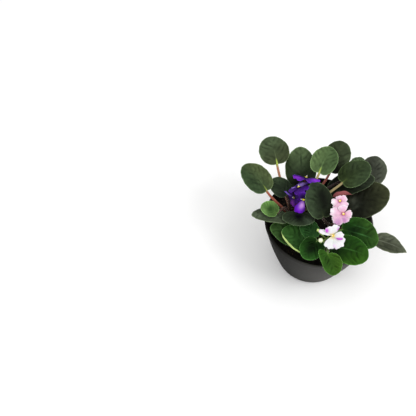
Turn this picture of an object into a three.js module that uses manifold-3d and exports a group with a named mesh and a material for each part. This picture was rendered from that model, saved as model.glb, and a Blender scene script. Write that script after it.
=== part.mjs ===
// A bowl planted with three African violets, in millimetres.
// Frame: origin at the centre of the pot's underside, +Z up, -Y to the front and +X to the right of someone
// who stands in front.
//
// The pot is a tapered grower's bowl filled with compost. Each violet is a crown that stands in a hole in
// the compost and that its petioles grow from as one body. Each leaf blade lies on the end of its petiole.
// A stalk rises from the top of each crown and forks to its blooms and buds. Each bloom holds two anthers.
import * as THREE from "three";
import { mergeVertices } from "three/addons/utils/BufferGeometryUtils.js";
import Module from "manifold-3d";

const wasm = await Module();
wasm.setup();

// Pot and compost
const POT_HEIGHT = 118;
const RIM_RADIUS = 95;
const RIM_BEAD = 0.9;
const RIM_BEAD_HEIGHT = 6;
const RIM_LIP = 3;
const RIM_EDGE = 1;
const FOOT_RADIUS = 62;
const FOOT_CHAMFER = 2;
const WALL = 2.4;
const FLOOR = 3;
const FLOOR_CORNER = 7.4;
const BULGE = 1.3;
const COMPOST_TOP = 103;
const COMPOST_MOUND = 3;
const MOUND_SHOULDER = { place: 0.55, rise: 0.8 };
const WALL_HEIGHTS = [30, 66, COMPOST_TOP];
const POT_SIDES = 40;
const GAP = 0.3;
const COMPOST_GAP = 0.4;

// Crowns and the holes that they stand in
const CROWN_RADIUS = 8.5;
const CROWN_FOOT_RADIUS = 6;
const CROWN_TIP_RADIUS = 3;
const CROWN_FOOT_HEIGHT = 3;
const CROWN_TIP_HEIGHT = 5;
const CROWN_DEPTH = 20;
const CROWN_SIDES = 10;
const HOLE_GAP = 0.5;
const HOLE_SIDES = 20;

// Leaves
const BLADE_RINGS = [
  { count: 32, place: 1 },
  { count: 16, place: 0.74 },
  { count: 8, place: 0.4 },
];
const BLADE_HUB = 0.45;
const BLADE_LOBE = 1.6;
const BLADE_FULLNESS = 0.1;
const BLADE_THICKNESS = 1.3;
const BLADE_EDGE = 0.9;
const BLADE_TOOTH = 0.35;
const BLADE_PLEAT = 0.35;
const BLADE_GROOVE = 0.9;
const GROOVE_WIDTH = 0.12;
const PETIOLE_SIDES = 6;
const PETIOLE_STEPS = 5;
const PETIOLE_RADII = [2.9, 2];
const PETIOLE_START = { out: 5, down: 6 };
const PETIOLE_BEND = { leave: 0.35, rise: 0.06, arrive: 0.3 };
const MIDRIB_RADII = [1.3, 0.7];

// Stalks, blooms and buds
const STALK_RADIUS = 1.6;
const STALK_SIDES = 6;
const STALK_STEPS = 4;
const STALK_BEND = 0.6;
const PEDICEL_RADIUS = 0.9;
const PEDICEL_SIDES = 5;
const PEDICEL_SINK = 0.6;
const PEDICEL_BEND = { leave: 0.4, rise: 0.12, arrive: 0.4 };
const CALYX = { length: 3.4, radii: [1, 2], sides: 5 };
const SEPAL = { width: 2.4, length: 6.5, thickness: 1.2, lean: 0.3 };
const BUD = { width: 0.75, sink: 0.15 };
const THROAT = { places: [-3.2, -1, 0.6], radii: [1.5, 2.4, 3], sides: 7 };
const PETAL_RINGS = [
  { count: 10, place: 1 },
  { count: 5, place: 0.55 },
];
const PETAL = { start: 1.6, width: 0.86, fullness: 0.45, thickness: 0.8 };
const PETAL_FORM = { ruffle: 0.5, arch: 1.6, droop: 1.1 };
const ANTHER = { length: 3.6, width: 2.1, splay: 0.25, offset: 0.85 };
const EGG_SIDES = 5;
const EGG_RINGS = 4;

const COLOURS = { pot: 0x454544, compost: 0x1d1712, anthers: 0xf2d21f };

// A bloom's petals, two short upper ones and three long lower ones: the turn of each about the bloom's axis,
// its share of the bloom's radius and its lean towards the bloom's face. Some have a share of the usual width
// and a twist about their own length too.
const PETALS = [
  [122, 0.84, 14],
  [58, 0.84, 10],
  [196, 0.98, 4],
  [344, 0.98, 1],
  [270, 1, -3],
];

// The three plants. A leaf has the place where its blade meets its petiole, the blade's length and width,
// its aim (azimuth from +X, pitch above the horizon, and roll that lifts its left side) and its form: how
// high it arches and its sides cup as shares of its length and half width, its lobes beside the petiole and
// its taper. Its skew, where it has one, lengthens its left lobe and shortens its right one, and its bow
// carries the petiole round a neighbour. A bloom has its place, its radius and its aim: the azimuth and pitch
// that it faces, and its roll. Petals of its own stand for PETALS.
const PLANTS = [
  {
    name: "left",
    crown: [-44, 7, 120],
    colours: { blade: 0x3f5a34, petiole: 0x8f4f3e, stalk: 0x5b3340, bloom: 0x4a1fa0 },
    leaves: [
      {
        base: [-73, 83, 174],
        size: [53, 54],
        aim: [102, 16, 0],
        form: [0.06, -0.08, 0.06, 0],
        bow: [0, 3, -6],
      },
      { base: [-94, 32, 165], size: [60, 53], aim: [129, 12, 6], form: [0.07, -0.08, 0.08, 0.05] },
      { base: [-30, 59, 148], size: [65, 56], aim: [90, 31, 0], form: [0.06, -0.1, 0.14, 0.16] },
      { base: [-1, 62, 178], size: [51, 46], aim: [63, 15, -4], form: [0.08, -0.06, 0.12, 0.08] },
      { base: [23, 78, 158], size: [66, 47], aim: [64, 12, 4], form: [0.08, 0.06, 0.06, 0.06] },
      { base: [40, 48, 166], size: [60, 47], aim: [35, 8, 6], form: [0.07, -0.08, 0.08, 0.1] },
      {
        base: [61, 72, 161],
        size: [38, 28],
        aim: [58, 6, 0],
        form: [0.04, 0, 0.14, 0.1],
        bow: [-8, 12, 3],
      },
      { base: [-58, 32, 151], size: [38, 38], aim: [126, 10, 0], form: [0.08, -0.06, 0.08, 0.06] },
      {
        base: [-60, -9, 134],
        size: [60, 42],
        aim: [171, 1, 4],
        form: [0.08, 0.08, 0.06, 0.1],
        bow: [0, 4, 5],
      },
      { base: [-39, 3, 139], size: [36, 56], aim: [267, 14, 0], form: [0.05, -0.1, 0.1, 0.14] },
      {
        base: [-77, -4, 146],
        size: [30, 28],
        aim: [148, 4, -10],
        form: [0.08, 0.08, 0.08, 0],
        bow: [2, 16, 11],
      },
      { base: [23, 45, 142], size: [83, 46], aim: [18, 5, 0], form: [0.06, 0.16, 0.1, 0.12] },
    ],
    fork: [-40, 16, 146],
    blooms: [
      {
        at: [-27, 45, 180],
        radius: 22,
        aim: [66, 35, 0],
        petals: [[54, 0.95, -16], [126, 1.02, -3], [198, 1.2, 0], [270, 0.9, 0], [342, 1, 0]],
      },
      {
        at: [-40, 27, 177],
        radius: 19,
        aim: [122, 49, 0],
        petals: [
          [122, 0.93, -2],
          [58, 0.95, -4],
          [204, 0.6, 0],
          [344, 0.98, 1],
          [270, 1, -3],
        ],
      },
      {
        at: [-45, 22, 155],
        radius: 16,
        aim: [200, 22, 0],
        petals: [
          [150, 1.35, 35, 0.36],
          [76, 1.1, 10],
          [214, 0.92, 4],
          [350, 0.65, 1],
          [290, 0.68, 0],
        ],
      },
      {
        at: [-32, 11, 165],
        radius: 20,
        aim: [258, 32, -14],
        petals: [
          [124, 0.83, 24, 0.8],
          [58, 0.54, 26],
          [196, 0.6, -28],
          [344, 0.55, -28],
          [270, 1.42, -7, 0.64],
        ],
      },
    ],
    buds: [{ at: [-24, 26, 158], length: 8, aim: [30, 50, 0] }],
  },
  {
    name: "right",
    crown: [24, -12, 119],
    colours: { blade: 0x2a3a28, petiole: 0x7d3c38, stalk: 0x7a4a4e, bloom: 0xe9a9cf },
    leaves: [
      { base: [97, 68, 139], size: [55, 47], aim: [72, 11, 0], form: [0.05, 0.06, 0.12, 0.08] },
      { base: [57, 19, 127], size: [76, 66], aim: [26, 12, 2], form: [0.08, -0.08, 0.14, 0.1] },
      { base: [0, -18, 156], size: [60, 48], aim: [107, 30, 0], form: [0.05, -0.1, 0.08, 0.06] },
      {
        base: [90, -43, 124],
        size: [60, 39],
        aim: [341, -13, 0],
        form: [0.08, 0.06, 0.04, 0.85],
        bow: [2, 3, 4],
      },
    ],
    fork: [27, -12, 146],
    blooms: [
      {
        at: [28, 4, 170],
        radius: 15.5,
        aim: [255, 62, 10],
        petals: [[100, 0.7, 15], [30, 0.82, 8], [188, 0.98, 4], [316, 1.05, 1], [250, 1.05, -3]],
      },
      {
        at: [31, -21, 168],
        radius: 19.5,
        aim: [262, 50, -26],
        petals: [[132, 0.8, 20], [21, 0.7, 15], [201, 1.12, 0, 0.75], [322, 0.8, 0], [261, 1.1, -3]],
      },
    ],
    buds: [{ at: [31, 9, 157], length: 7, aim: [60, 50, 0] }],
  },
  {
    name: "front",
    crown: [2, -50, 119],
    colours: { blade: 0x2f7026, petiole: 0x6f8a45, stalk: 0x88a050, bloom: 0xf4eef4 },
    leaves: [
      { base: [-28, -46, 116], size: [66, 44], aim: [152, 6, -4], form: [0.06, 0.06, 0.12, 0.1] },
      { base: [-20, -60, 122], size: [58, 52], aim: [143, 9, -6], form: [0.08, 0.04, 0.12, 0.08] },
      { base: [-13, -40, 122], size: [35, 34], aim: [123, 10, 0], form: [0.06, 0, 0.12, 0.08] },
      { base: [-12, -54, 135], size: [41, 39], aim: [236, -2, 0], form: [0.08, -0.06, 0.18, 0.04] },
      {
        base: [2, -85, 144],
        size: [36, 34],
        aim: [290, -24, 0],
        form: [0.1, 0.1, 0.22, 0],
        skew: -0.8,
        bow: [7, 0, -3],
      },
      { base: [15, -67, 139], size: [59, 52], aim: [344, -5, 10], form: [0.1, -0.06, 0.1, 0.04] },
      { base: [36, -31, 135], size: [62, 59], aim: [343, -8, 6], form: [0.08, 0.06, 0.1, 0.06] },
    ],
    fork: [2, -56, 144],
    blooms: [
      {
        at: [8, -64, 168],
        radius: 21,
        aim: [285, 50, -28],
        petals: [
          [148, 0.88, 26, 1.4],
          [17, 0.82, 22, 0.85],
          [185, 1.2, 10, 0.7, 62],
          [271, 1.06, -3],
          [330, 1.18, 0],
        ],
      },
    ],
    buds: [
      { at: [-8, -64, 152], length: 10, aim: [230, 60, 0] },
      { at: [-5, -56, 157], length: 5, aim: [130, 60, 0] },
      { at: [-11, -50, 157], length: 6, aim: [130, 50, 0] },
    ],
  },
];

const UPWARDS = new THREE.Vector3(0, 0, 1);
const object = new THREE.Group();

function point([x, y, z]) {
  return new THREE.Vector3(x, y, z);
}

// A point or direction made of weighted directions: sum(point, [direction, weight], ...)
function sum(start, ...terms) {
  return terms.reduce((total, term) => total.addScaledVector(...term), start.clone());
}

function add(name, geometry, color, roughness = 0.8) {
  const mesh = new THREE.Mesh(geometry, new THREE.MeshStandardMaterial({ color, roughness, metalness: 0 }));
  mesh.name = name;
  object.add(mesh);
}

// Closed meshes from lists of points and triangles, and solids that join and cut

function meshOf(points, triangles) {
  const geometry = new THREE.BufferGeometry();
  geometry.setAttribute("position", new THREE.Float32BufferAttribute(points.flatMap((p) => [...p]), 3));
  geometry.setIndex(triangles.flat());
  geometry.computeVertexNormals();
  return geometry;
}

function solid(geometry) {
  const bare = geometry.clone();
  bare.deleteAttribute("normal");
  bare.deleteAttribute("uv");
  const merged = mergeVertices(bare);
  return new wasm.Manifold(
    new wasm.Mesh({
      numProp: 3,
      vertProperties: new Float32Array(merged.attributes.position.array),
      triVerts: new Uint32Array(merged.index.array),
    }),
  );
}

function geometryOf(body) {
  const mesh = body.getMesh();
  const geometry = new THREE.BufferGeometry();
  geometry.setAttribute("position", new THREE.BufferAttribute(mesh.vertProperties, 3));
  geometry.setIndex(new THREE.BufferAttribute(mesh.triVerts, 1));
  geometry.computeVertexNormals();
  return geometry;
}

function fused(geometries) {
  const [first, ...others] = geometries.map(solid);
  return geometryOf(others.reduce((whole, body) => whole.add(body), first));
}

// A round body about +Z from pairs of radius and height that start and end on the axis
function turned(profile, sides) {
  const outline = profile.map(([r, z]) => new THREE.Vector2(r, z));
  return new THREE.LatheGeometry(outline, sides).rotateX(Math.PI / 2);
}

// A closed tube through points, with a radius at each, whose rings stay square to it
function tube(points, radii, sides) {
  const last = points.length - 1;
  const tangents = points.map((_, i) =>
    points[Math.min(i + 1, last)].clone().sub(points[Math.max(i - 1, 0)]).normalize(),
  );
  const level = Math.abs(tangents[0].z) < 0.9 ? point([0, 0, 1]) : point([1, 0, 0]);
  let across = level.cross(tangents[0]).normalize();
  const rings = points.map((p, i) => {
    across = sum(across, [tangents[i], -across.dot(tangents[i])]).normalize();
    const over = tangents[i].clone().cross(across);
    return Array.from({ length: sides }, (_, k) => {
      const turn = (2 * Math.PI * k) / sides;
      return sum(p, [across, radii[i] * Math.cos(turn)], [over, radii[i] * Math.sin(turn)]);
    });
  });
  const triangles = [];
  for (let k = 0; k < sides; k++) {
    const next = (k + 1) % sides;
    for (let low = 0; low < last * sides; low += sides) {
      const [a, b, c, d] = [low + k, low + next, low + next + sides, low + k + sides];
      triangles.push([a, b, c], [a, c, d]);
    }
  }
  for (let k = 1; k < sides - 1; k++) {
    const end = last * sides;
    triangles.push([0, k + 1, k], [end, end + k, end + k + 1]);
  }
  return meshOf(rings.flat(), triangles);
}

// Blades are discs of rings about a hub on the midline, split into the same triangles on both faces

// The axes of a blade that points along an azimuth and pitch and is rolled about that line, in degrees
function axesOf(aim) {
  const [azimuth, pitch, roll] = aim.map(THREE.MathUtils.degToRad);
  const level = point([-Math.sin(azimuth), Math.cos(azimuth), 0]);
  const ahead = point([Math.cos(azimuth), Math.sin(azimuth), 0]);
  const along = ahead.multiplyScalar(Math.cos(pitch)).addScaledVector(UPWARDS, Math.sin(pitch));
  const upright = along.clone().cross(level);
  const side = level.multiplyScalar(Math.cos(roll)).addScaledVector(upright, Math.sin(roll));
  return { along, side, up: along.clone().cross(side) };
}

// The triangles of one face: bands between rings that halve in count, and a fan round the hub
function faceOf(counts) {
  const triangles = [];
  let start = 0;
  for (const [i, inner] of counts.slice(1).entries()) {
    const outer = counts[i];
    const next = start + outer;
    for (let k = 0; k < inner; k++) {
      const [a, b, c] = [start + 2 * k, start + 2 * k + 1, start + ((2 * k + 2) % outer)];
      const [d, e] = [next + k, next + ((k + 1) % inner)];
      triangles.push([a, d, b], [b, d, e], [b, e, c]);
    }
    start = next;
  }
  const inner = counts.at(-1);
  for (let k = 0; k < inner; k++) {
    triangles.push([start + k, start + inner, start + ((k + 1) % inner)]);
  }
  return triangles;
}

// A blade whose points come from place(ring, k, lower), where the ring past the last is the hub
function blade(rings, place) {
  const points = [false, true].flatMap((lower) => [
    ...rings.flatMap(({ count }, ring) => Array.from({ length: count }, (_, k) => place(ring, k, lower))),
    place(rings.length, 0, lower),
  ]);
  const half = points.length / 2;
  const upper = faceOf(rings.map(({ count }) => count));
  const lower = upper.map(([a, b, c]) => [a + half, c + half, b + half]);
  const rim = Array.from({ length: rings[0].count }, (_, k) => [k, (k + 1) % rings[0].count]);
  const edge = rim.flatMap(([a, b]) => [[a, b, b + half], [a, b + half, a + half]]);
  return meshOf(points, [...upper, ...lower, ...edge]);
}

// A leaf's outline at a turn of 0 at the petiole and pi at the tip, with lobes that reach back at its base
function leafOutline({ size: [length, width], form: [, , lobe, taper], skew = 0 }, turn) {
  const forward = (1 - Math.cos(turn)) / 2;
  const reach = lobe * (1 + skew * Math.sign(Math.sin(turn)));
  const back = BLADE_LOBE * Math.sqrt(Math.abs(Math.sin(turn))) * Math.max(0, Math.cos(turn));
  const breadth = (1 + BLADE_FULLNESS * Math.cos(turn)) * (1 - taper * forward ** 3);
  return [length * (forward - reach * back), (width / 2) * Math.sin(turn) * breadth];
}

// A point on or under a leaf's upper face, x along its midline and y to its left
function leafPoint(leaf, x, y, depth = 0) {
  const { size: [length, width], form: [arch, cup] } = leaf;
  const { along, side, up } = axesOf(leaf.aim);
  const u = x / length;
  const v = y / (width / 2);
  const groove = BLADE_GROOVE * Math.exp(-((v / GROOVE_WIDTH) ** 2)) * Math.max(0, 1 - u);
  const height = arch * length * 4 * u * (1 - u) + (cup * width * v * v) / 2 - groove;
  return sum(point(leaf.base), [along, x], [side, y], [up, height - depth]);
}

function leafBlade(leaf) {
  const hub = BLADE_HUB * leaf.size[0];
  return blade(BLADE_RINGS, (ring, k, lower) => {
    if (ring === BLADE_RINGS.length) return leafPoint(leaf, hub, 0, lower ? BLADE_THICKNESS : 0);
    const { count, place } = BLADE_RINGS[ring];
    const [x, y] = leafOutline(leaf, (2 * Math.PI * k) / count);
    const wave = k % (count / 2) === 0 ? 0 : (-1) ** k;
    const reach = ring === 0 ? 1 + (wave * 2 * BLADE_TOOTH) / leaf.size[1] : place;
    const thickness = ring === 0 ? BLADE_EDGE : BLADE_THICKNESS;
    const pleat = ring === 1 ? wave * BLADE_PLEAT : 0;
    return leafPoint(leaf, hub + reach * (x - hub), reach * y, pleat + (lower ? thickness : 0));
  });
}

// A petiole rises from its crown, bends into line with its blade and runs on under it as a tapering midrib
function petiole(leaf, crown) {
  const hub = BLADE_HUB * leaf.size[0];
  const { along, up } = axesOf(leaf.aim);
  const seat = (place, radius) => leafPoint(leaf, hub * (1 - place), 0, BLADE_THICKNESS + GAP + radius);
  const [root, tip] = PETIOLE_RADII;
  const end = seat(1, tip);
  const outwards = leafPoint(leaf, hub, 0).sub(crown).setZ(0).normalize();
  const start = sum(crown, [outwards, PETIOLE_START.out], [UPWARDS, -PETIOLE_START.down]);
  const reach = end.distanceTo(start);
  const arrival = sum(along, [up, 4 * leaf.form[0]]);
  const bow = point(leaf.bow ?? [0, 0, 0]);
  const { leave, rise, arrive } = PETIOLE_BEND;
  const early = sum(start.clone().lerp(end, leave), [UPWARDS, rise * reach], [bow, 1]);
  const late = sum(end, [arrival, -arrive * reach], [bow, 1]);
  const path = new THREE.CubicBezierCurve3(start, early, late, end);
  const points = path.getPoints(PETIOLE_STEPS);
  const radii = points.map((_, i) => THREE.MathUtils.lerp(root, tip, i / PETIOLE_STEPS));
  for (const [i, radius] of MIDRIB_RADII.entries()) {
    points.push(seat(BLADE_RINGS[i + 1].place, radius));
    radii.push(radius);
  }
  return tube(points, radii, PETIOLE_SIDES);
}

function crownStem(crown) {
  const foot = COMPOST_TOP - CROWN_DEPTH;
  const profile = [
    [0, foot],
    [CROWN_FOOT_RADIUS, foot],
    [CROWN_RADIUS, foot + CROWN_FOOT_HEIGHT],
    [CROWN_RADIUS, crown.z - CROWN_TIP_HEIGHT],
    [CROWN_TIP_RADIUS, crown.z],
    [0, crown.z],
  ];
  return turned(profile, CROWN_SIDES).translate(crown.x, crown.y, 0);
}

// Blooms. Their axes point out of the face, to the right of someone facing it and to the upper petals.

function petal(bloom, [turn, reach, lean, broad = 1, twist = 0]) {
  const { along: out, side: right, up: upper } = axesOf(bloom.aim);
  const [angle, tilt, roll] = [turn, lean, twist].map(THREE.MathUtils.degToRad);
  const outwards = sum(right.clone().multiplyScalar(Math.cos(angle)), [upper, Math.sin(angle)]);
  const along = sum(outwards.clone().multiplyScalar(Math.cos(tilt)), [out, Math.sin(tilt)]);
  const level = out.clone().cross(outwards);
  const upright = along.clone().cross(level);
  const side = level.multiplyScalar(Math.cos(roll)).addScaledVector(upright, Math.sin(roll));
  const up = along.clone().cross(side);
  const start = sum(point(bloom.at), [along, PETAL.start]);
  const length = bloom.radius * reach - PETAL.start;
  const width = PETAL.width * bloom.radius * reach * broad;
  const hub = PETAL_RINGS.at(-1).place * length;
  return blade(PETAL_RINGS, (ring, k, lower) => {
    const { count, place } = PETAL_RINGS[ring] ?? { count: 1, place: 0 };
    const round = (2 * Math.PI * k) / count;
    const x = hub + place * ((length * (1 - Math.cos(round))) / 2 - hub);
    const v = place * Math.sin(round) * (1 - PETAL.fullness * Math.cos(round));
    const ruffle = ring === 0 ? (PETAL_FORM.ruffle * (-1) ** k * x) / length : 0;
    const height = PETAL_FORM.arch * Math.sin((Math.PI * x) / length) - PETAL_FORM.droop * v * v + ruffle;
    const depth = lower ? PETAL.thickness : 0;
    return sum(start, [along, x], [side, (width * v) / 2], [up, height - depth]);
  });
}

function corolla(bloom) {
  const out = axesOf(bloom.aim).along;
  const throat = THROAT.places.map((place) => sum(point(bloom.at), [out, place]));
  const petals = (bloom.petals ?? PETALS).map((shape) => petal(bloom, shape));
  return fused([tube(throat, THROAT.radii, THROAT.sides), ...petals]);
}

// An egg-shaped body along an axis
function egg(centre, axis, length, width) {
  const turn = new THREE.Quaternion().setFromUnitVectors(point([0, 1, 0]), axis);
  const placed = new THREE.Matrix4().compose(centre, turn, point([width, length, width]));
  return new THREE.SphereGeometry(0.5, EGG_SIDES, EGG_RINGS).applyMatrix4(placed);
}

function anthers(bloom) {
  const { along: out, side: right, up: upper } = axesOf(bloom.aim);
  const centre = sum(point(bloom.at), [out, THROAT.places.at(-1) + GAP + ANTHER.width / 2]);
  const pair = [-1, 1].map((side) => {
    const axis = sum(upper, [right, ANTHER.splay * side]).normalize();
    return egg(sum(centre, [right, ANTHER.offset * side]), axis, ANTHER.length, ANTHER.width);
  });
  return fused(pair);
}

// Stalks

// A sepal is a flat spike that spreads outwards behind the bloom
function sepal(root, out, outwards) {
  const across = out.clone().cross(outwards);
  const lean = sum(outwards, [out, SEPAL.lean]).normalize();
  const flat = across.clone().cross(lean);
  const frame = new THREE.Matrix4().makeBasis(
    across.multiplyScalar(SEPAL.width),
    lean.multiplyScalar(SEPAL.length),
    flat.multiplyScalar(SEPAL.thickness),
  );
  return new THREE.ConeGeometry(0.5, 1, 3).translate(0, 0.5, 0).applyMatrix4(frame.setPosition(root));
}

function calyx(seat, { along: out, side: right, up: upper }) {
  const root = sum(seat, [out, -CALYX.length / 2]);
  const sepals = [0, 1, 2, 3, 4].map((k) => {
    const turn = (2 * Math.PI * (k + 0.5)) / 5;
    return sepal(root, out, sum(upper.clone().multiplyScalar(Math.cos(turn)), [right, Math.sin(turn)]));
  });
  return [tube([sum(seat, [out, -CALYX.length]), seat], CALYX.radii, CALYX.sides), ...sepals];
}

// A pedicel leaves its stalk upwards and reaches its bloom or bud from behind
function pedicel(from, to, out) {
  const reach = from.distanceTo(to);
  const { leave, rise, arrive } = PEDICEL_BEND;
  const early = sum(from.clone().lerp(to, leave), [UPWARDS, rise * reach]);
  const path = new THREE.CubicBezierCurve3(from, early, sum(to, [out, -arrive * reach]), to);
  const points = path.getPoints(STALK_STEPS);
  return tube(points, points.map(() => PEDICEL_RADIUS), PEDICEL_SIDES);
}

function flowerStalk({ fork, blooms, buds }, crown) {
  const foot = sum(crown, [UPWARDS, GAP]);
  const top = point(fork);
  const bend = sum(foot, [UPWARDS, STALK_BEND * (top.z - foot.z)]);
  const path = new THREE.QuadraticBezierCurve3(foot, bend, top).getPoints(STALK_STEPS);
  const bodies = [tube(path, path.map(() => STALK_RADIUS), STALK_SIDES)];
  for (const bloom of blooms) {
    const axes = axesOf(bloom.aim);
    const seat = sum(point(bloom.at), [axes.along, THROAT.places[0] - GAP]);
    const back = sum(seat, [axes.along, PEDICEL_SINK - CALYX.length]);
    bodies.push(pedicel(top, back, axes.along), ...calyx(seat, axes));
  }
  for (const bud of buds) {
    const out = axesOf(bud.aim).along;
    const seat = point(bud.at);
    bodies.push(pedicel(top, sum(seat, [out, BUD.sink * bud.length]), out));
    bodies.push(egg(sum(seat, [out, bud.length / 2]), out, bud.length, BUD.width * bud.length));
  }
  return fused(bodies);
}

// Pot and compost

function wallRadius(height) {
  return FOOT_RADIUS + (RIM_RADIUS - FOOT_RADIUS) * (1 - (1 - height / POT_HEIGHT) ** BULGE) - RIM_BEAD;
}

// The inside of the pot up to the compost's top, or a smaller body inside it
function cavity(inset) {
  const wall = WALL_HEIGHTS.map((height) => [wallRadius(height) - WALL - inset, height]);
  return [[0, FLOOR + inset], [FOOT_RADIUS - FLOOR_CORNER - inset, FLOOR + inset], ...wall];
}

function pot() {
  const beadFoot = POT_HEIGHT - RIM_BEAD_HEIGHT;
  const wall = [FOOT_CHAMFER, ...WALL_HEIGHTS, beadFoot].map((height) => [wallRadius(height), height]);
  const profile = [
    [0, 0],
    [FOOT_RADIUS - FOOT_CHAMFER - RIM_BEAD, 0],
    ...wall,
    [RIM_RADIUS, beadFoot + RIM_EDGE],
    [RIM_RADIUS, POT_HEIGHT - RIM_EDGE],
    [RIM_RADIUS - RIM_EDGE, POT_HEIGHT],
    [RIM_RADIUS - RIM_LIP, POT_HEIGHT],
    ...cavity(0).reverse(),
  ];
  return turned(profile, POT_SIDES);
}

function compost(crowns) {
  const profile = [
    ...cavity(COMPOST_GAP),
    [wallRadius(COMPOST_TOP) * MOUND_SHOULDER.place, COMPOST_TOP + COMPOST_MOUND * MOUND_SHOULDER.rise],
    [0, COMPOST_TOP + COMPOST_MOUND],
  ];
  const bottom = COMPOST_TOP - CROWN_DEPTH - GAP;
  const radius = CROWN_RADIUS + HOLE_GAP;
  const top = COMPOST_TOP + 2 * COMPOST_MOUND;
  const holes = crowns.map(({ x, y }) => {
    const hole = [[0, bottom], [radius, bottom], [radius, top], [0, top]];
    return solid(turned(hole, HOLE_SIDES).translate(x, y, 0));
  });
  return geometryOf(holes.reduce((body, hole) => body.subtract(hole), solid(turned(profile, POT_SIDES))));
}

add("pot", pot(), COLOURS.pot, 0.55);
add("compost", compost(PLANTS.map((plant) => point(plant.crown))), COLOURS.compost, 1);
for (const plant of PLANTS) {
  const { name, colours, leaves, blooms } = plant;
  const crown = point(plant.crown);
  const petioles = leaves.map((leaf) => petiole(leaf, crown));
  add(`${name}_crown`, fused([crownStem(crown), ...petioles]), colours.petiole);
  add(`${name}_flower_stalk`, flowerStalk(plant, crown), colours.stalk);
  for (const [i, leaf] of leaves.entries()) {
    add(`${name}_leaf_${i + 1}`, leafBlade(leaf), colours.blade);
  }
  for (const [i, bloom] of blooms.entries()) {
    add(`${name}_bloom_${i + 1}`, corolla(bloom), colours.bloom);
    add(`${name}_anthers_${i + 1}`, anthers(bloom), COLOURS.anthers);
  }
}

export default object;
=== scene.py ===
from math import atan2, comb, cos, pi, radians, sin, sqrt

import bpy
import numpy as np
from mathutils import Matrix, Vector


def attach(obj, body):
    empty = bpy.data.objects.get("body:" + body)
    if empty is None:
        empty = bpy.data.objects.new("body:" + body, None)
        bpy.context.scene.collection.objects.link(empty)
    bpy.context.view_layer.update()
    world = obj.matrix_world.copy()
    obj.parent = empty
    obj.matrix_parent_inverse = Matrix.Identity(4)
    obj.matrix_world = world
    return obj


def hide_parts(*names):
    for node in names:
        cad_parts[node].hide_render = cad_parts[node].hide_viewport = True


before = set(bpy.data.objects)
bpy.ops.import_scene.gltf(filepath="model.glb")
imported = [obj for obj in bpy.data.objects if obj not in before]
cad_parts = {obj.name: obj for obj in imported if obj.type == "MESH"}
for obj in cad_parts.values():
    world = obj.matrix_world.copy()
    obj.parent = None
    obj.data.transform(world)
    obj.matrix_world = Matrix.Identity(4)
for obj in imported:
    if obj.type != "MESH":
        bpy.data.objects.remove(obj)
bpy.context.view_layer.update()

MM = 0.001
SEED = 11

# Pot and compost, as in the solids
POT_HEIGHT = 118
RIM_RADIUS = 95
RIM_BEAD = 0.9
RIM_BEAD_HEIGHT = 6
RIM_LIP = 3
FOOT_RADIUS = 62
FOOT_CHAMFER = 2
WALL = 2.4
BULGE = 1.3
COMPOST_TOP = 103
COMPOST_MOUND = 3
CROWN_RADIUS = 8.5
CROWN_TIP_RADIUS = 3
CROWN_DEPTH = 20
GAP = 0.3

# Leaves, as in the solids
BLADE_HUB = 0.45
BLADE_LOBE = 1.6
BLADE_FULLNESS = 0.1
BLADE_THICKNESS = 1.3
BLADE_GROOVE = 0.9
GROOVE_WIDTH = 0.12
PETIOLE_RADII = (2.9, 2)
PETIOLE_START = dict(out=5, down=6)
PETIOLE_BEND = dict(leave=0.35, rise=0.06, arrive=0.3)

# Stalks and blooms, as in the solids
STALK_RADIUS = 1.6
STALK_BEND = 0.6
PEDICEL_RADIUS = 0.9
PEDICEL_BEND = dict(leave=0.4, rise=0.12, arrive=0.4)
CALYX = dict(length=3.4, radii=(1, 2))
SEPAL = dict(width=2.4, length=6.5, lean=0.3)
THROAT = dict(places=(-3.2, -1, 0.6), radii=(1.5, 2.4, 3))
PETAL = dict(start=1.6, width=0.86, fullness=0.45, arch=1.6, droop=1.1)
ANTHER = dict(length=3.6, width=2.1, splay=0.25, offset=0.85)
BUD = dict(width=0.75, sink=0.15)

# The pot and compost, finer, with the pot's rounded edges and where it is closed under the compost
POT_SIDES = 160
ROUND_FOOT = 1
ROUND_BEAD = 0.6
ROUND_RIM = 0.8
ROUND_LIP = 0.5
POT_CLOSED = 90
COMPOST_SIDES = 200
COMPOST_RINGS = 60
CRUMB_CLEAR = 4
CROWN_STEPS = 16
CROWN_SHOULDER = 6

# The pot's dark plastic, with painted light that greys it towards its front right and towards its foot
POT_TINT = dict(dark="#151513", painted_light="#6d6c69", least=0.03, towards=(0.6, -0.8), reach=(-0.1, 1.3))

# Crumbs of peat, bark and perlite: colour, count, smallest and largest. They are strewn over a little more
# than one turn.
CRUMBS = [("#2a1f16", 620, (0.8, 2.2)), ("#3c2d1e", 140, (1.2, 3.2)), ("#b9b4a8", 46, (0.9, 1.9))]
CRUMB_TURN = 7

# Blades, finer. Rings crowd towards the rim by a power.
BLADE_TURNS = 144
BLADE_RINGS = 26
RING_POWER = 1.25
BLADE_EDGE = 0.7
BLADE_TOOTH = 0.2
BLADE_TEETH = 16
RIM_WAVES = (3, 5, 8)
RIM_LIFT = 0.9
FOLD_START = 0.1
PETIOLE_STEPS = 26
PETIOLE_SIDES = 14
MIDRIB = dict(steps=14, reach=0.78, tip=0.35, sink=0.75, taper=0.6)

# Side veins, their lines, and the wavelengths that they wander and come and go over
VEIN = dict(count=5, slope=0.65, bend=0.45, fan=0.6, shift=0.3, wander=0.22, squeeze=0.8)
VEIN_LINE = dict(width=0.65, depth=0.4, wander=26, strength=24, least=0.15)

# Lumps and patches of colour on a blade, as waves of a height, a wavelength and a seed
LUMPS = [(0.35, 10, 50), (0.08, 4, 51)]
PATCHES = [(0.15, 26, 90), (0.13, 9, 91), (0.07, 4, 92)]
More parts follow.
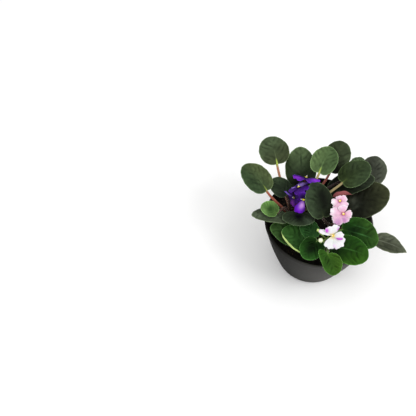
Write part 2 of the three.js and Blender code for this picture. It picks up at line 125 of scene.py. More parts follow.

# How strongly veins, midrib and rim show in a blade's colours, and the stretches that these change over.
# The sweep and the darker middle are painted light and shade; the swellings between veins are painted
# lighter and the vein lines darker, as painted light and shade on the quilting. The underside's lighter
# veins, the pale midrib and the pale rim are the leaf's own colours.
TONE_AND_LIGHT_SWEEP_REACH = (-0.6, 0.8)
MIDDLE_SHADE_REACH = (0.25, 0.95)
VEIN_SHADE_AND_TONE = dict(between=0.42, line=0.8, dark=0.5, under=1.35)
RIB_TINT = "#a9c052"
RIB = dict(width=1.1, taper=0.8, fresh=(0.02, 0.2), glow=1.7, begin=(0, 0.15), end=(0.25, 0.55))
RIM_TONE = dict(reach=(0.95, 0.985), glow=2, tint="#2a3520")

# Hairs, with how far they lean and their shortest and longest
RIM_HAIRS = dict(count=260, lean=0.45, length=(0.3, 0.8), radius=0.04, tint="#dfe3cc")
PETIOLE_HAIRS = dict(count=260, lean=0.35, length=(0.7, 1.4), radius=0.04, tint="#e8e2d2")
STALK_HAIRS = dict(lean=0.3, length=(0.4, 0.9), radius=0.03, tint="#e8dcd6")

# Petals and sepals, finer, with the waves round a petal's outline and rim and the streaks along it
PETAL_TURNS = 56
PETAL_RINGS = 12
PETAL_HUB = 0.55
PETAL_THICKNESS = 0.5
FRILLS = (7, 13)
RUFFLES = (5, 9)
RUFFLE = dict(least=0.35, frill=9)
STREAKS = 22
STREAK_RISE = 0.12
STIGMA_ASIDE = 2.6
STIGMA_TINT = "#f4eef0"
SEPAL_HOLLOW = 0.35
SEPAL_THICKNESS = 0.7

# The plants, nearly row for row as in the solids. Some petals are turned, fuller or longer, front leaves 2
# and 3 and left leaf 9 are tilted a little, and what the eye sees is added.
#
# A leaf has the place where its blade meets its petiole, its length and width, its aim (azimuth, pitch and
# roll) and its form: arch, cup, lobes and taper. Its skew makes its lobes unlike, and its bow carries its
# petiole aside. Its sweep is the azimuth that its tint turns to another colour towards: painted light and
# shade across the blade, along with some change in its own colour. Its rib is how much its midrib shows,
# and its hollow how much painted shade darkens its middle. A plant's quilt is how high its blades swell
# between their veins.
#
# A fold is a side that rolls up: which side, from what share of the half width, its radius and turn, where
# along the blade it starts and ends and over how much it fades out, and how much more blade is in it.
#
# A petal has its turn about the bloom's axis, its share of the bloom's radius and its lean to the face, and
# some have a share of the usual breadth and a twist. A bloom's shade is painted shade that darkens it, its
# stigma is how far aside its style bends, and its pollen stands for the plant's; the darker pollen of the
# third left bloom is painted shade.
#
# Marks are soft spots of colour: their place along and across the blade or petal, and how far they spread
# each way. A bloom's marks say which petal first. Some are the thing's own colour, such as pale midribs
# and the magenta rims of the white bloom; others are painted shade, such as dark spots at the foot or
# middle of a leaf, or painted highlights, such as pale spots on the violet petals.
LEFT = dict(
    name="left", crown=(-44, 7, 120), under="#6f7350", petiole="#8a4c3c", stalk="#5b2a34",
    quilt=1.1, hollow=0.1,
    leaves=[
        dict(base=(-73, 83, 174), size=(53, 54), aim=(102, 16, 0), form=(0.06, -0.08, 0.06, 0),
             bow=(0, 3, -6), tint="#445238", tone_and_light_sweep=(315, "#384029"), rib=1, petiole="#9e6c50"),
        dict(base=(-94, 32, 165), size=(60, 53), aim=(129, 12, 6), form=(0.07, -0.08, 0.08, 0.05),
             tint="#32432a", tone_and_light_sweep=(50, "#4b5736"), rib=0.5, petiole="#96523e"),
        dict(base=(-30, 59, 148), size=(65, 56), aim=(90, 31, 0), form=(0.06, -0.1, 0.14, 0.16),
             tint="#32402a", tone_and_light_sweep=(100, "#455537"), rib=0.02,
             # The near-black spot at its foot is painted shade under the blooms
             marks_and_painted_light=[("#12150d", 0.05, 0, 0.25, 1), ("#24301b", 0.45, 0.9, 0.4, 0.3),
                    ("#283420", 0.62, 0, 0.22, 0.05)]),
        dict(base=(-1, 62, 178), size=(51, 46), aim=(63, 15, -4), form=(0.08, -0.06, 0.12, 0.08),
             tint="#425634", tone_and_light_sweep=(160, "#576d43"), rib=0.8, petiole="#a3935e"),
        dict(base=(23, 78, 158), size=(66, 47), aim=(64, 12, 4), form=(0.08, 0.06, 0.06, 0.06),
             tint="#2c3420", tone_and_light_sweep=(340, "#3c4730"), rib=0.02, petiole="#7c3a2e",
             # The dark spot near its foot is painted shade
             marks_and_painted_light=[("#161a10", 0.1, -0.2, 0.25, 0.5)]),
        dict(base=(40, 48, 166), size=(60, 47), aim=(35, 8, 6), form=(0.07, -0.08, 0.08, 0.1),
             tint="#28341a", tone_and_light_sweep=(335, "#303e27"), rib=0.08, petiole="#9c8d62",
             marks_and_painted_light=[("#303d26", 0.6, 0.5, 0.25, 0.4)]),
        dict(base=(61, 72, 161), size=(38, 28), aim=(58, 6, 0), form=(0.04, 0, 0.14, 0.1),
             bow=(-8, 12, 3), tint="#46563b", petiole="#2a1a16"),
        dict(base=(-58, 32, 151), size=(38, 38), aim=(126, 10, 0), form=(0.08, -0.06, 0.08, 0.06),
             tint="#232d20", tone_and_light_sweep=(120, "#2f3c29"), petiole="#2e1a14"),
        dict(base=(-60, -9, 134), size=(60, 39), aim=(171, 1, 14), form=(0.08, 0.08, 0.06, 0.1),
             bow=(0, 4, 5), tint="#444f3a", tone_and_light_sweep=(90, "#333d2d"),
             marks_and_painted_light=[("#525e49", 0.85, 0.1, 0.2, 0.4), ("#4b5742", 0.25, 0.1, 0.3, 0.3)]),
        dict(base=(-39, 3, 139), size=(36, 56), aim=(267, 14, 0), form=(0.05, -0.1, 0.1, 0.14),
             tint="#262f21", tone_and_light_sweep=(200, "#2c3726"), hollow=0.2,
             # The near-black spot is the painted shadow of the bloom above it
             marks_and_painted_light=[("#050606", 0.38, 0, 0.3, 0.35), ("#3a4636", 0.6, 0.6, 0.3, 0.3)]),
        dict(base=(-77, -4, 146), size=(30, 28), aim=(148, 4, -10), form=(0.08, 0.08, 0.08, 0),
             bow=(2, 16, 11), tint="#5c7c44", tone_and_light_sweep=(330, "#456230"), rib=0.05, petiole="#3a241c",
             # The darker spot across its middle is painted shade
             hollow=0, marks_and_painted_light=[("#5c8442", 0.7, -0.4, 0.25, 0.5), ("#2e4a20", 0.42, 0, 0.2, 0.5)]),
        dict(base=(23, 45, 142), size=(83, 46), aim=(18, 5, 0), form=(0.06, 0.16, 0.1, 0.12),
             tint="#1a1f16", tone_and_light_sweep=(20, "#262e21"), under="#a05a5c",
             fold=dict(side=-1, edge=0.8, radius=3.5, turn=150, along=(-0.12, 0.44, 0.3), more=2.2)),
    ],
    fork=(-40, 16, 146),
    blooms=[
        dict(at=(-27, 45, 180), radius=22, aim=(66, 35, 0), stigma=0.4,
             petals=[(34, 1.03, -17, 1.15, -17), (148, 1.12, -2, 1.2, 24), (198, 1.1, 3),
                     (270, 0.9, 0), (342, 1, -4)],
             marks_and_painted_light=[("#7a24b8", 0, 0.75, 0, 0.3, 0.7), ("#8028c4", 1, 0.8, 0.2, 0.3, 0.6)]),
        # Painted shade darkens this bloom, and its pale lavender spots are painted highlights
        dict(at=(-40, 27, 177), radius=19, aim=(122, 49, 0), shade=0.65, stigma=0.4,
             petals=[(122, 0.98, -10, 1.15), (58, 1.08, -10), (206, 1.2, 2, 1.2), (344, 1, 1), (270, 1, -3)],
             marks_and_painted_light=[("#b79af0", 2, 0.6, 0, 0.5, 0.5), ("#a98cf0", 4, 0.5, 0.6, 0.3, 0.3)]),
        # Painted shade darkens this bloom and its pollen
        dict(at=(-45, 22, 155), radius=16, aim=(200, 22, 0), shade=0.45, pollen="#8a8034", stigma=0.4,
             petals=[(150, 1.45, 60, 0.22), (76, 1.18, 10), (214, 0.98, 4), (350, 0.72, 1), (290, 1.05, 0)],
             marks_and_painted_light=[("#7d63c8", 0, 0.7, 0, 0.4, 1), ("#6a2a8c", 4, 0.7, 0, 0.4, 0.8)]),
        dict(at=(-32, 11, 165), radius=20, aim=(258, 32, -14), stigma=4.2,
             petals=[(124, 0.88, 24, 0.86), (58, 0.6, 26, 1.1), (196, 0.64, -28), (344, 0.58, -28),
                     (274, 1.5, -7, 0.62)],
             # Painted light brightens the lowest petal, with a pale painted highlight, and painted shade
             # darkens the two upper petals
             marks_and_painted_light=[("#8820ee", 4, 0.8, 0.1, 0.6, 1), ("#e4a4ff", 4, 0.36, 0.15, 0.24, 0.5),
                    ("#1c0748", 0, 0.4, 0, 0.4, 0.8), ("#1c0748", 1, 0.4, 0, 0.3, 0.8)]),
    ],
    buds=[dict(at=(-24, 26, 158), length=8, aim=(30, 50, 0), tint="#3c2468")],
    look=dict(face="#42107c", tip="#541a9a", heart="#1a0538", edge="#6c2cc0", frill=0.05, streak=0.7),
    pollen="#fff23a",
)
RIGHT = dict(
    name="right", crown=(24, -12, 119), under="#7a5a50", petiole="#4a2a26", stalk="#7a4a4e",
    quilt=1.6, hollow=0.3,
    leaves=[
        dict(base=(97, 68, 139), size=(55, 47), aim=(72, 11, 0), form=(0.05, 0.06, 0.12, 0.08),
             tint="#3c4036", tone_and_light_sweep=(340, "#4a4f43")),
        dict(base=(57, 19, 127), size=(76, 66), aim=(26, 12, 2), form=(0.08, -0.08, 0.14, 0.1),
             tint="#1b1d15", tone_and_light_sweep=(5, "#303421"),
             marks_and_painted_light=[("#464b3f", 0.15, 0.28, 0.1, 0.2), ("#363b31", 0.12, -0.1, 0.12, 0.1)]),
        dict(base=(0, -18, 156), size=(60, 48), aim=(107, 30, 0), form=(0.05, -0.1, 0.08, 0.06),
             tint="#1a2114", tone_and_light_sweep=(180, "#36442f"), rib=0.03, petiole="#2c1e1a",
             marks_and_painted_light=[("#2c3826", 0.9, -0.1, 0.2, 0.5), ("#0f140b", 0.5, -0.3, 0.3, 0.35)]),
        dict(base=(90, -43, 124), size=(60, 39), aim=(341, -13, 0), form=(0.08, 0.06, 0.04, 0.85),
             bow=(2, 3, 4), tint="#434838", tone_and_light_sweep=(60, "#535848"), petiole="#7b4a3c",
             marks_and_painted_light=[("#6c7160", 0.4, 0, 0.3, 0.04), ("#63685a", 0.35, 0.4, 0.16, 0.035),
                    ("#2f3428", 0.3, -0.55, 0.2, 0.06)]),
    ],
    fork=(27, -12, 146),
    blooms=[
        dict(at=(28, 4, 170), radius=15.5, aim=(255, 62, 10), stigma=1,
             petals=[(104, 0.56, 15, 1.5), (30, 0.82, 8), (193, 0.94, 4, 0.85), (316, 1.05, 1),
                     (250, 1.05, -3)],
             marks_and_painted_light=[("#fff4fb", 2, 0.8, 0, 0.3, 0.8), ("#f2cce2", 3, 0.5, 0, 0.3, 0.6)]),
        dict(at=(31, -21, 168), radius=19.5, aim=(262, 50, -26), stigma=1,
             petals=[(132, 0.8, 20), (31, 0.74, 15), (201, 1.12, 0, 0.75), (322, 0.8, 0), (261, 1.1, -3)],
             # The mauve spots on the two lower petals are painted shade where they arch
             marks_and_painted_light=[("#cf98c6", 4, 0.75, 0.3, 0.4, 0.6), ("#c088ba", 3, 0.6, -0.2, 0.4, 0.7),
                    ("#f6e4f0", 2, 0.85, 0, 0.2, 0.7)]),
    ],
    buds=[dict(at=(31, 9, 157), length=7, aim=(60, 50, 0), tint="#c79aa0")],
    look=dict(face="#eab9d1", tip="#f0cadf", heart="#c87aa4", edge="#ffffff", frill=0.06, streak=0.2),
    pollen="#ffe838",
)
FRONT = dict(
    name="front", crown=(2, -50, 119), under="#8aa35c", petiole="#5f7a3a", stalk="#7d9648",
    quilt=2.5, hollow=0.35,
    leaves=[
        dict(base=(-28, -46, 116), size=(66, 44), aim=(152, 6, -4), form=(0.06, 0.06, 0.12, 0.1),
             tint="#233f1b", tone_and_light_sweep=(150, "#365228"), rib=0.02),
        dict(base=(-20, -60, 122), size=(58, 52), aim=(143, 7, 0), form=(0.08, 0.04, 0.12, 0.08),
             tint="#284d1e", tone_and_light_sweep=(170, "#345a27"), rib=0.03, under="#b3c97a",
             fold=dict(side=1, edge=0.87, radius=1.1, turn=150, along=(0, 1.1, 0.12), more=0)),
        dict(base=(-13, -40, 126), size=(35, 34), aim=(123, 14, 0), form=(0.06, 0, 0.12, 0.08),
             tint="#264b21", rib=0.03),
        dict(base=(-12, -54, 135), size=(41, 39), aim=(236, -2, 0), form=(0.08, -0.06, 0.18, 0.04),
             tint="#1a3a10", tone_and_light_sweep=(250, "#264e1a"), rib=0.02, hollow=0.2,
             # Its dark middle is painted shade
             marks_and_painted_light=[("#0c1f07", 0.5, 0, 0.35, 0.5)]),
        dict(base=(2, -85, 144), size=(36, 34), aim=(290, -24, 0), form=(0.1, 0.1, 0.22, 0),
             skew=-0.8, bow=(7, 0, -3), tint="#365718", tone_and_light_sweep=(180, "#2f5419"), rib=0.06),
        dict(base=(15, -67, 139), size=(59, 52), aim=(344, -5, 10), form=(0.1, -0.06, 0.1, 0.04),
             tint="#1c400e", tone_and_light_sweep=(290, "#294d10"), rib=0.03,
             # The dark spot at its foot is painted shade
             marks_and_painted_light=[("#0c2106", 0.05, -0.3, 0.2, 0.6), ("#3c6c2c", 0.42, 0, 0.25, 0.035)]),
        dict(base=(36, -31, 135), size=(62, 59), aim=(343, -8, 6), form=(0.08, 0.06, 0.1, 0.06),
             tint="#1a400f", tone_and_light_sweep=(10, "#284717"), rib=0.03,
             # The dark spot near its foot is painted shade
             marks_and_painted_light=[("#0f2b0a", 0.2, 0.1, 0.2, 0.3), ("#3e7038", 0.5, -0.02, 0.22, 0.035),
                    ("#356430", 0.45, 0.42, 0.16, 0.03)]),
    ],
    fork=(2, -56, 144),
    blooms=[
        dict(at=(8, -64, 168), radius=21, aim=(285, 50, -28),
             petals=[(118, 0.88, 22, 1.45), (15, 0.84, 26, 0.85), (176, 1.22, 6, 0.42, 40), (274, 1.06, -3),
                     (330, 1.18, 0)],
             marks_and_painted_light=[("#c03cc8", 0, 0.6, 0.85, 0.25, 0.28), ("#b030bc", 0, 0.35, -0.9, 0.3, 0.2),
                    ("#b42cbe", 1, 0.75, -0.8, 0.3, 0.35), ("#b42cbe", 1, 0.4, -0.8, 0.25, 0.3),
                    ("#eccdec", 2, 1, 0, 0.12, 1), ("#e9c4ea", 3, 0.5, 1, 0.3, 0.25),
                    ("#e9c4ea", 4, 0.5, -1, 0.3, 0.25)]),
    ],
    buds=[
        dict(at=(-8, -64, 152), length=10, aim=(230, 60, 0), tint="#ffffe2"),
        dict(at=(-5, -56, 157), length=5, aim=(130, 60, 0), tint="#b9d070"),
        dict(at=(-11, -50, 157), length=6, aim=(130, 50, 0), tint="#cfe08c"),
    ],
    look=dict(face="#dedcde", tip="#e6e3e7", heart="#dcca98", edge="#f2edf2", frill=0.07, streak=0.1),
    pollen="#f0d040",
)
PLANTS = [LEFT, RIGHT, FRONT]


def linear(hex_tint):
    """A colour written as #rrggbb, as three linear shares of light."""
    shares = np.array([int(hex_tint[i:i + 2], 16) / 255 for i in (1, 3, 5)])
    return np.where(shares > 0.04045, ((shares + 0.055) / 1.055) ** 2.4, shares / 12.92)


def mixed(base, tint, share):
    """Colours moved from base towards tint, by a share for each point. base can be one colour."""
    share = np.clip(np.asarray(share, float), 0, 1)[..., None]
    return base * (1 - share) + tint * share


def spotted(base, marks_and_painted_light, along, across):
    """Colours of points with soft spots laid over them, in full strength at their middle. The spots give own
    colour, painted shade and painted highlights.
    """
    for tint, ahead, aside, spread, breadth in marks_and_painted_light:
        share = 1.1 * np.exp(-(((along - ahead) / spread) ** 2) - ((across - aside) / breadth) ** 2)
        base = mixed(base, linear(tint), share)
    return base


def unit(vectors):
    return vectors / np.linalg.norm(vectors, axis=-1, keepdims=True)


def smooth(values, low, high):
    """0 below low, 1 above high and an even curve between."""
    share = np.clip((np.asarray(values, float) - low) / (high - low), 0, 1)
    return share * share * (3 - 2 * share)


def ripple(x, y, wavelength, seed, waves=6):
    """A smooth random rise from about -1 to 1 over a plane, as a sum of plane waves."""
    draw = np.random.default_rng([SEED, seed])
    total = 0
    for _ in range(waves):
        turn, phase = draw.uniform(0, 2 * pi, 2)
        number = 2 * pi / wavelength * draw.uniform(0.6, 1.5)
        total = total + np.sin(number * (x * cos(turn) + y * sin(turn)) + phase)
    return total / sqrt(2 * waves)


def ripples(x, y, rows, seed):
    """Ripples added up from rows of height, wavelength and seed."""
    return sum(height * ripple(x, y, wavelength, seed + own) for height, wavelength, own in rows)


def circle(count):
    """Angles spaced evenly round a full turn."""
    return np.arange(count) * 2 * pi / count


def axes_of(aim):
    """The along, side and up axes of a blade or bloom, as in the solids."""
    azimuth, pitch, roll = np.radians(aim)
    level = np.array([-sin(azimuth), cos(azimuth), 0])
    flat = cos(pitch)
    along = np.array([cos(azimuth) * flat, sin(azimuth) * flat, sin(pitch)])
    side = level * cos(roll) + np.cross(along, level) * sin(roll)
    return along, side, np.cross(along, side)


def helper(axis):
    """An upright or level direction well away from an axis."""
    return np.array([0, 0, 1.0]) if abs(axis[2]) < 0.9 else np.array([1.0, 0, 0])


class Body:
    """The points, faces and colours of a piece of several closed parts, in millimetres."""

    def __init__(self):
        self.points, self.tints, self.faces, self.count = [], [], [], 0

    def add(self, points, faces, tints, material=0):
        """points and tints are rows of three, and faces arrays of three or four columns."""
        self.points.append(points)
        self.tints.append(np.broadcast_to(tints, points.shape))
        self.faces += [(np.asarray(rows) + self.count, material) for rows in faces]
        self.count += len(points)

    def piece(self, name, materials, nodes, slot):
        """Makes the object, which rides on the pot and stands for the solids in nodes."""
        mesh = bpy.data.meshes.new(name)
        faces = [face for rows, _ in self.faces for face in rows.tolist()]
        mesh.from_pydata(np.concatenate(self.points) * MM, [], faces, shade_flat=False)
        marks_and_painted_light = np.concatenate([np.full(len(rows), mark) for rows, mark in self.faces])
        mesh.polygons.foreach_set("material_index", marks_and_painted_light)
        tint = mesh.color_attributes.new("Tint", "FLOAT_COLOR", "POINT")
        shares = np.concatenate(self.tints)
        tint.data.foreach_set("color", np.column_stack([shares, np.ones(len(shares))]).ravel())
        for material in materials:
            mesh.materials.append(material)
        made = bpy.data.objects.new(name, mesh)
        bpy.context.scene.collection.objects.link(made)
        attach(made, "root")
        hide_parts(*nodes)


# Faces between rows of points

def bands(rows, columns, start=0, flip=False):
    """Four-cornered faces between rings of points, each ring closed on itself."""
    row, column = np.meshgrid(np.arange(rows - 1), np.arange(columns), indexing="ij")
    row, column = row.ravel() * columns, column.ravel()
    after = (column + 1) % columns
    corners = [row + column, row + after, row + columns + after, row + columns + column]
    faces = np.column_stack(corners) + start
    return faces[:, ::-1] if flip else faces


def fan(ring, hub, flip=False):
    """Three-cornered faces from a ring of points to one hub point."""
    faces = np.column_stack([ring, np.roll(ring, -1), np.full(len(ring), hub)])
    return faces[:, ::-1] if flip else faces


def capped(rings, sides):
    """The faces of a closed body whose points are its rings, in order, and then its two end points."""
    first = np.arange(sides)
    last = first + (rings - 1) * sides
    return [bands(rings, sides), fan(first, rings * sides, True), fan(last, rings * sides + 1)]


def normals_of(points, faces):
    """The smooth outward direction at each point."""
    total = np.zeros_like(points)
    for rows in faces:
        corners = [points[column] for column in rows.T]
        facing = np.cross(corners[2] - corners[0], corners[-1] - corners[1])
        for column in rows.T:
            np.add.at(total, column, facing)
    return unit(total)


def disc(turns, rings, power=1):
    """How far out and at what angle the points of a disc are: rings from the inside out, then the hub."""
    reach = 1 - (1 - np.arange(1, rings + 1) / rings) ** power
    return np.append(np.repeat(reach, turns), 0), np.append(np.tile(circle(turns), rings), 0)


def sheet(body, turns, upper, thickness, above, below):
    """A closed thin sheet with a round rim. upper has its rings of points, the outer one last, and then the
    hub, and the others a value for each of them. Returns the rim and its outward way."""
    count = len(upper)
    rings = (count - 1) // turns
    faces = [bands(rings, turns), fan(np.arange(turns), count - 1, True)]
    lower = upper - normals_of(upper, faces) * thickness[:, None]
    outer = slice(count - 1 - turns, count - 1)
    outwards = unit(upper[outer] - upper[outer.start - turns:outer.start])
    rim = (upper[outer] + lower[outer]) / 2 + outwards * (0.4 * thickness[outer])[:, None]
    last = np.arange(outer.start, outer.stop)
    after = np.roll(np.arange(turns), -1)
    ring = 2 * count + np.arange(turns)
    faces += [
        bands(rings, turns, count, True),
        fan(np.arange(turns) + count, 2 * count - 1),
        np.column_stack([last, last[after], ring[after], ring]),
        np.column_stack([ring, ring[after], last[after] + count, last + count]),
    ]
    body.add(np.concatenate([upper, lower, rim]), faces, np.concatenate([above, below, above[outer]]))
    return rim, outwards


def bezier(controls, steps):
    """Points along a curve with three or four control points."""
    t = np.linspace(0, 1, steps + 1)[:, None]
    degree = len(controls) - 1
    return sum(
        comb(degree, i) * (1 - t) ** (degree - i) * t**i * np.asarray(control, float)
        for i, control in enumerate(controls)
    )


def stem_line(start, end, arrival, bend, steps, bow=(0, 0, 0)):
    """The curve of a stem that rises from start and comes to end along arrival. bow carries it aside."""
    reach = np.linalg.norm(end - start)
    early = start + (end - start) * bend["leave"] + [0, 0, bend["rise"] * reach] + bow
    return bezier([start, early, end - arrival * bend["arrive"] * reach + bow, end], steps)


def tube(body, line, radii, tints, sides=12, lumps=0.0, seed=0):
    """A closed round tube along a line, with a radius and a colour for each point, or one colour. lumps is
    how uneven it is. Returns its surface points and their outward directions, for hairs."""
    ahead = unit(np.gradient(line, axis=0))
    across = np.cross(helper(ahead[0]), ahead[0])
    rings = []
    normals = []
    turns = circle(sides)
    for i, (centre, direction) in enumerate(zip(line, ahead)):
        across = unit(across - direction * (across @ direction))
        over = np.cross(direction, across)
        outward = np.cos(turns)[:, None] * across + np.sin(turns)[:, None] * over
        swell = 1 + lumps * ripple(turns * 2, np.full(sides, i * 0.7), 3.0, seed, 4)
        rings.append(centre + outward * (radii[i] * swell)[:, None])
        normals.append(outward)
    points = np.concatenate([*rings, line[:1], line[-1:]])
    shades = np.repeat(np.broadcast_to(tints, line.shape), sides, axis=0)
    body.add(points, capped(len(line), sides), np.concatenate([shades, shades[:1], shades[-1:]]))
    return np.concatenate(rings), np.concatenate(normals)


def egg(body, centre, axis, length, width, tint, seams=0, rings=14, sides=20):
    """A closed egg shape along an axis, with shallow seams along it."""
    axis = unit(np.asarray(axis, float))
    across = unit(np.cross(axis, helper(axis)))
    over = np.cross(axis, across)
    turns = circle(sides)
    seam = np.mod(turns * max(seams, 1) / (2 * pi), 1) - 0.5
    crease = 1 - 0.08 * np.exp(-(seam**2) / 0.01) * (seams > 0)
    ring = np.cos(turns)[:, None] * across + np.sin(turns)[:, None] * over
    rows = [
        centre - axis * cos(polar) * length / 2 + ring * (crease * sin(polar) * width / 2)[:, None]
        for polar in np.linspace(0, pi, rings + 2)[1:-1]
    ]
    ends = np.array([centre - axis * length / 2, centre + axis * length / 2])
    body.add(np.concatenate([*rows, ends]), capped(rings, sides), tint)


def hairs(body, draw, roots, outwards, kind):
    """Fine hairs, each a closed three-sided spike of the piece's second material."""
    directions = unit(outwards + draw.normal(0, kind["lean"], outwards.shape))
    lengths = draw.uniform(*kind["length"], len(roots))
    level = np.where(np.abs(directions[:, 2:]) < 0.9, [0, 0, 1.0], [1.0, 0, 0])
    across = unit(np.cross(directions, level))
    over = np.cross(directions, across)
    aside = [kind["radius"] * (cos(turn) * across + sin(turn) * over) for turn in circle(3)]
    feet = [roots - directions * 0.1 + step for step in aside]
    points = np.stack([*feet, roots + directions * lengths[:, None]], axis=1).reshape(-1, 3)
    start = np.arange(len(roots))[:, None] * 4
    sides = [start + np.array(face) for face in ((0, 1, 3), (1, 2, 3), (2, 0, 3), (0, 2, 1))]
    body.add(points, sides, linear(kind["tint"]), 1)


# Leaves

def leaf_outline(leaf, turn):
    length, width = leaf["size"]
    lobe, taper = leaf["form"][2:]
    forward = (1 - np.cos(turn)) / 2
    back = BLADE_LOBE * np.sqrt(np.abs(np.sin(turn))) * np.maximum(0, np.cos(turn))
    reach = lobe * (1 + leaf.get("skew", 0) * np.sign(np.sin(turn)))
    breadth = (1 + BLADE_FULLNESS * np.cos(turn)) * (1 - taper * forward**3)
    return length * (forward - reach * back), width / 2 * np.sin(turn) * breadth


def half_width(leaf, u):
    """Half the width of a blade without a skew, at a share of its length."""
    lobe, taper = leaf["form"][2:]
    middle = np.clip((u + lobe) / (1 + lobe), 0, 1)
    full = (1 + BLADE_FULLNESS * (1 - 2 * middle)) * (1 - taper * middle**3)
    return leaf["size"][1] * np.sqrt(middle * (1 - middle)) * full


def leaf_rise(leaf, x, y):
    """The height of the solid's upper face over the line from its petiole to its tip."""
    length, width = leaf["size"]
    arch, cup = leaf["form"][:2]
    u, v = x / length, y / (width / 2)
    groove = BLADE_GROOVE * np.exp(-((v / GROOVE_WIDTH) ** 2)) * np.clip(1 - u, 0, 1)
    return arch * length * 4 * u * (1 - u) + cup * width * v * v / 2 - groove


def folded(leaf, x, y):
    """How far a rolled side moves each point sideways and up: round an arc, then straight on."""
    if "fold" not in leaf:
        return np.zeros_like(y), np.zeros_like(y)
    fold = leaf["fold"]
    low, high, fade = fold["along"]
    u = x / leaf["size"][0]
    share = smooth(u, low, low + FOLD_START) * (1 - smooth(u, high - fade, high))
    radius = fold["radius"] / (share + 1e-4)  # Very large where nothing rolls up
    past = np.maximum(0, fold["side"] * y - fold["edge"] * half_width(leaf, u))
    reach = past * (1 + fold["more"] * share)
    turn = np.minimum(reach / radius, radians(fold["turn"]))
    straight = reach - turn * radius
    aside = radius * np.sin(turn) + straight * np.cos(turn)
    return fold["side"] * (aside - past), radius * (1 - np.cos(turn)) + straight * np.sin(turn)


def leaf_points(leaf, x, y, rise):
    along, side, up = axes_of(leaf["aim"])
    x, y, rise = (np.asarray(value, float)[..., None] for value in (x, y, rise))
    return leaf["base"] + x * along + y * side + rise * up


def leaf_veins(leaf, x, y, seed):
    """How much each point lies on a side vein, and how much between two. Side veins leave the midrib
    forwards and bend towards the tip, and fan out round the petiole."""
    length, width = leaf["size"]
    away = np.abs(y)
    bent = x - VEIN["bend"] * away**2 / (width / 2)
    start = bent - VEIN["slope"] * away
    fanned = (atan2(1, VEIN["slope"]) - np.arctan2(away, bent)) / VEIN["fan"]
    phase = np.where(start > 0, start / length * VEIN["count"], fanned)
    phase = phase + np.where(y > 0, VEIN["shift"], 0.0)
    phase = phase + VEIN["wander"] * ripple(x, y, VEIN_LINE["wander"], seed)
    miss = np.abs(phase - np.round(phase))
    spaced = miss * length / VEIN["count"] * VEIN["squeeze"]
    distance = np.where(start > 0, spaced, miss * VEIN["fan"] * np.hypot(x, y))
    comes = smooth(ripple(x, y, VEIN_LINE["strength"], seed + 40), -0.4, 0.9)
    strength = VEIN_LINE["least"] + (1 - VEIN_LINE["least"]) * comes
    line = strength * np.exp(-((distance / VEIN_LINE["width"]) ** 2))
    return line, strength * (np.sin(pi * phase) ** 2 - 0.5)


def blade_tints(plant, leaf, x, y, place, line, between, seed):
    """The colours of a blade's upper side, with painted light and shade. line and between say where its
    veins show.
    """
    u, v = x / leaf["size"][0], y / (leaf["size"][1] / 2)
    # The sweep paints light and shade across the blade, along with some change in its own colour
    towards, other = leaf.get("tone_and_light_sweep", (0, leaf["tint"]))
    lean = radians(towards - leaf["aim"][0])
    across = (u - 0.5) * 2 * cos(lean) + v * sin(lean)
    tints = mixed(linear(leaf["tint"]), linear(other), smooth(across, *TONE_AND_LIGHT_SWEEP_REACH))
    tints = spotted(tints, leaf.get("marks_and_painted_light", []), u, v)
    # Painted shade darkens the middle of the blade, fading out towards its rim
    hollow = leaf.get("hollow", plant["hollow"]) * (1 - smooth(place, *MIDDLE_SHADE_REACH))
    # Painted light and shade: the swellings between veins are made lighter, and next the vein lines darker
    shade = (1 + ripples(x, y, PATCHES, seed) + VEIN_SHADE_AND_TONE["between"] * between) * (1 - hollow)
    tints = tints * shade[:, None]
    tints = mixed(tints, tints * VEIN_SHADE_AND_TONE["dark"], VEIN_SHADE_AND_TONE["line"] * line)
    spine = np.exp(-((y / (RIB["width"] - RIB["taper"] * np.clip(u, 0, 1))) ** 2)) * leaf.get("rib", 0)
    tints = mixed(tints, linear(RIB_TINT), spine * (1 - smooth(u, *RIB["fresh"])))
    glow = smooth(u, *RIB["begin"]) * (1 - smooth(u, *RIB["end"]))
    tints = mixed(tints, tints * RIB["glow"], spine * glow)
    pale = tints * RIM_TONE["glow"] + linear(RIM_TONE["tint"])
    return mixed(tints, pale, smooth(place, *RIM_TONE["reach"]))


